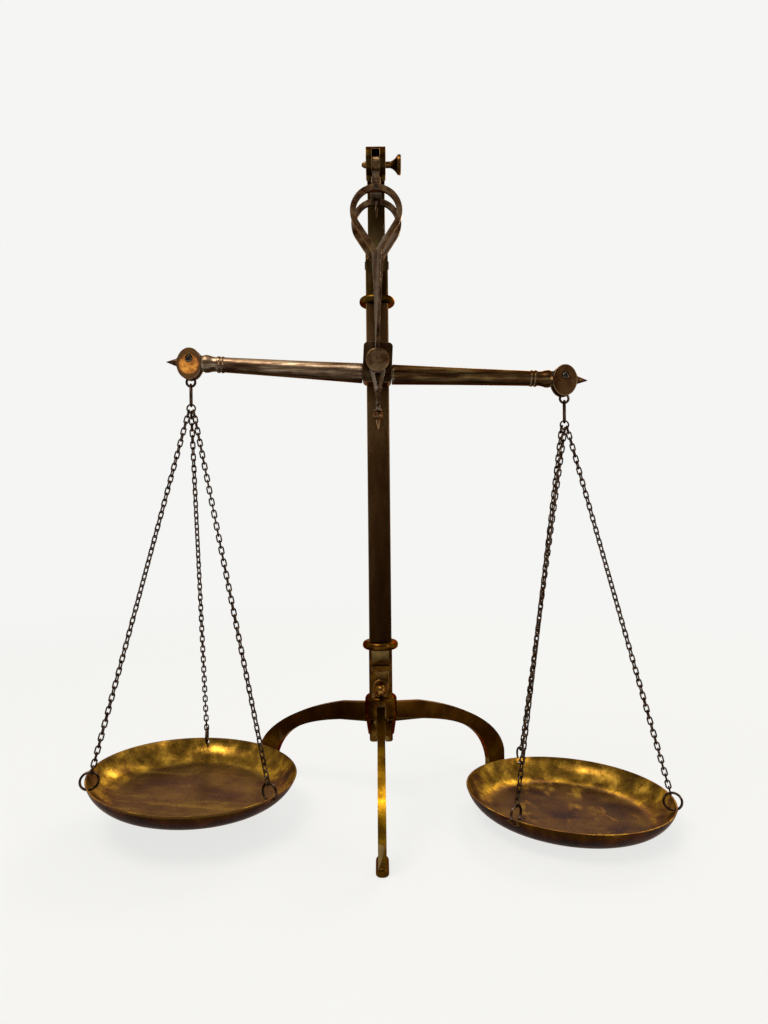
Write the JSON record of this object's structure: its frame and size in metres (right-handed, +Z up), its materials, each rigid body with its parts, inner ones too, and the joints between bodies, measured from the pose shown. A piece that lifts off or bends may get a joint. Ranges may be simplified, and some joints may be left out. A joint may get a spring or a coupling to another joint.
{
  "type": "folding apothecary beam balance",
  "caption": "Folding apothecary beam balance: square brass pillar on hinged tripod legs, equal-arm beam hung in open shears, brass pans on fine chains",
  "frame": {"origin": "on the floor under the middle of the bounding box", "axes": "+X to the viewer's right along the beam, +Y away from the viewer, +Z up"},
  "size_m": [0.4694, 0.1913, 0.5476],
  "materials": {
    "pillar_brass": "aged bare brass, hand worn",
    "leg_brass": "aged bare brass, hand worn",
    "screw_brass": "aged bare brass, hand worn",
    "shears_bronze": "aged bare brass, hand worn",
    "beam_brass": "aged bare brass, hand worn",
    "pan_brass": "spun brass, tarnished",
    "needle_steel": "ground steel, browned",
    "dark_iron": "blackened iron wire"
  },
  "bodies": {
    "stand": {"pillar_shaft": "pillar_brass", "base_hub": "pillar_brass", "hub_screw": "screw_brass", "hub_escutcheon": "screw_brass", "top_fork": "pillar_brass", "arm_hinge_pin": "dark_iron", "leg_hinge_pins": "dark_iron"},
    "arm": {"head_arm": "pillar_brass"},
    "screw": {"thumb_screw": "screw_brass"},
    "shears": {"shears_yoke": "shears_bronze", "shears_front_cheek": "shears_bronze", "shears_rear_cheek": "shears_bronze", "yoke_rivets": "dark_iron", "index_spike": "dark_iron", "front_bearing": "needle_steel", "rear_bearing": "needle_steel", "front_boss_cap": "shears_bronze", "rear_boss_cap": "shears_bronze", "tail_finial": "shears_bronze", "tail_rivet": "dark_iron"},
    "beam": {"beam_body": "beam_brass", "left_beam_arm": "beam_brass", "right_beam_arm": "beam_brass", "centre_knife": "needle_steel", "needle": "needle_steel", "left_end_knife": "needle_steel", "right_end_knife": "needle_steel", "left_box_front_plate": "beam_brass", "left_box_rear_plate": "beam_brass", "right_box_front_plate": "beam_brass", "right_box_rear_plate": "beam_brass", "left_spike": "beam_brass", "right_spike": "beam_brass"},
    "front_foot": {"front_leg": "leg_brass"},
    "rear_left_foot": {"rear_left_leg": "leg_brass"},
    "rear_right_foot": {"rear_right_leg": "leg_brass"},
    "left_stirrup": {"left_shackle": "dark_iron"},
    "left_hook": {"left_hook_link": "dark_iron"},
    "left_hanger": {"left_gather_ring": "dark_iron", "left_chain_1": "dark_iron", "left_chain_2": "dark_iron", "left_chain_3": "dark_iron", "left_pan_rings": "dark_iron", "left_pan": "pan_brass"},
    "right_stirrup": {"right_shackle": "dark_iron"},
    "right_hook": {"right_hook_link": "dark_iron"},
    "right_hanger": {"right_gather_ring": "dark_iron", "right_chain_1": "dark_iron", "right_chain_2": "dark_iron", "right_chain_3": "dark_iron", "right_pan_rings": "dark_iron", "right_pan": "pan_brass"}
  },
  "joints": [
    {"name": "arm_fold", "type": "hinge", "parent": "stand", "child": "arm", "pos_m": [0, 0.027, 0.463], "axis": [-1, 0, 0], "range_deg": [0, 90]},
    {"name": "thumb_screw_turn", "type": "hinge", "parent": "arm", "child": "screw", "pos_m": [0, -0.004, 0.534], "axis": [1, 0, 0], "continuous": true},
    {"name": "shears_swing", "type": "hinge", "parent": "arm", "child": "shears", "pos_m": [0, -0.004, 0.534], "axis": [1, 0, 0], "range_deg": [-10, 0.5]},
    {"name": "beam_rock", "type": "hinge", "parent": "shears", "child": "beam", "pos_m": [0, -0.004, 0.3715], "axis": [0, 1, 0], "range_deg": [-6.5, 0.5]},
    {"name": "left_stirrup_plumb", "type": "hinge", "parent": "beam", "child": "left_stirrup", "pos_m": [-0.15222, -0.004, 0.37898], "axis": [0, 1, 0], "range_deg": [-0.5, 6.5]},
    {"name": "left_pan_swing", "type": "hinge", "parent": "left_stirrup", "child": "left_hook", "pos_m": [-0.15222, -0.004, 0.35558], "axis": [-1, 0, 0], "range_deg": [-1, 12]},
    {"name": "left_pan_sway", "type": "hinge", "parent": "left_hook", "child": "left_hanger", "pos_m": [-0.15222, -0.004, 0.33918], "axis": [0, 1, 0], "range_deg": [-2, 12]},
    {"name": "right_stirrup_plumb", "type": "hinge", "parent": "beam", "child": "right_stirrup", "pos_m": [0.15216, -0.004, 0.36302], "axis": [0, 1, 0], "range_deg": [-0.5, 6.5]},
    {"name": "right_pan_swing", "type": "hinge", "parent": "right_stirrup", "child": "right_hook", "pos_m": [0.15216, -0.004, 0.33963], "axis": [-1, 0, 0], "range_deg": [-1, 12]},
    {"name": "right_pan_sway", "type": "hinge", "parent": "right_hook", "child": "right_hanger", "pos_m": [0.15216, -0.004, 0.32322], "axis": [0, -1, 0], "range_deg": [-2, 12]},
    {"name": "front_leg_fold", "type": "hinge", "parent": "stand", "child": "front_foot", "pos_m": [0, 0.0175, 0.074], "axis": [1, 0, 0], "range_deg": [0, 45]},
    {"name": "rear_right_leg_fold", "type": "hinge", "parent": "stand", "child": "rear_right_foot", "pos_m": [0.00823, 0.03175, 0.074], "axis": [-0.5, 0.866, 0], "range_deg": [0, 45]},
    {"name": "rear_left_leg_fold", "type": "hinge", "parent": "stand", "child": "rear_left_foot", "pos_m": [-0.00823, 0.03175, 0.074], "axis": [-0.5, -0.866, 0], "range_deg": [0, 45]}
  ],
  "couplings": [
    {"joint": "left_stirrup_plumb", "follows": "beam_rock", "ratio": -1},
    {"joint": "right_stirrup_plumb", "follows": "beam_rock", "ratio": -1}
  ]
}
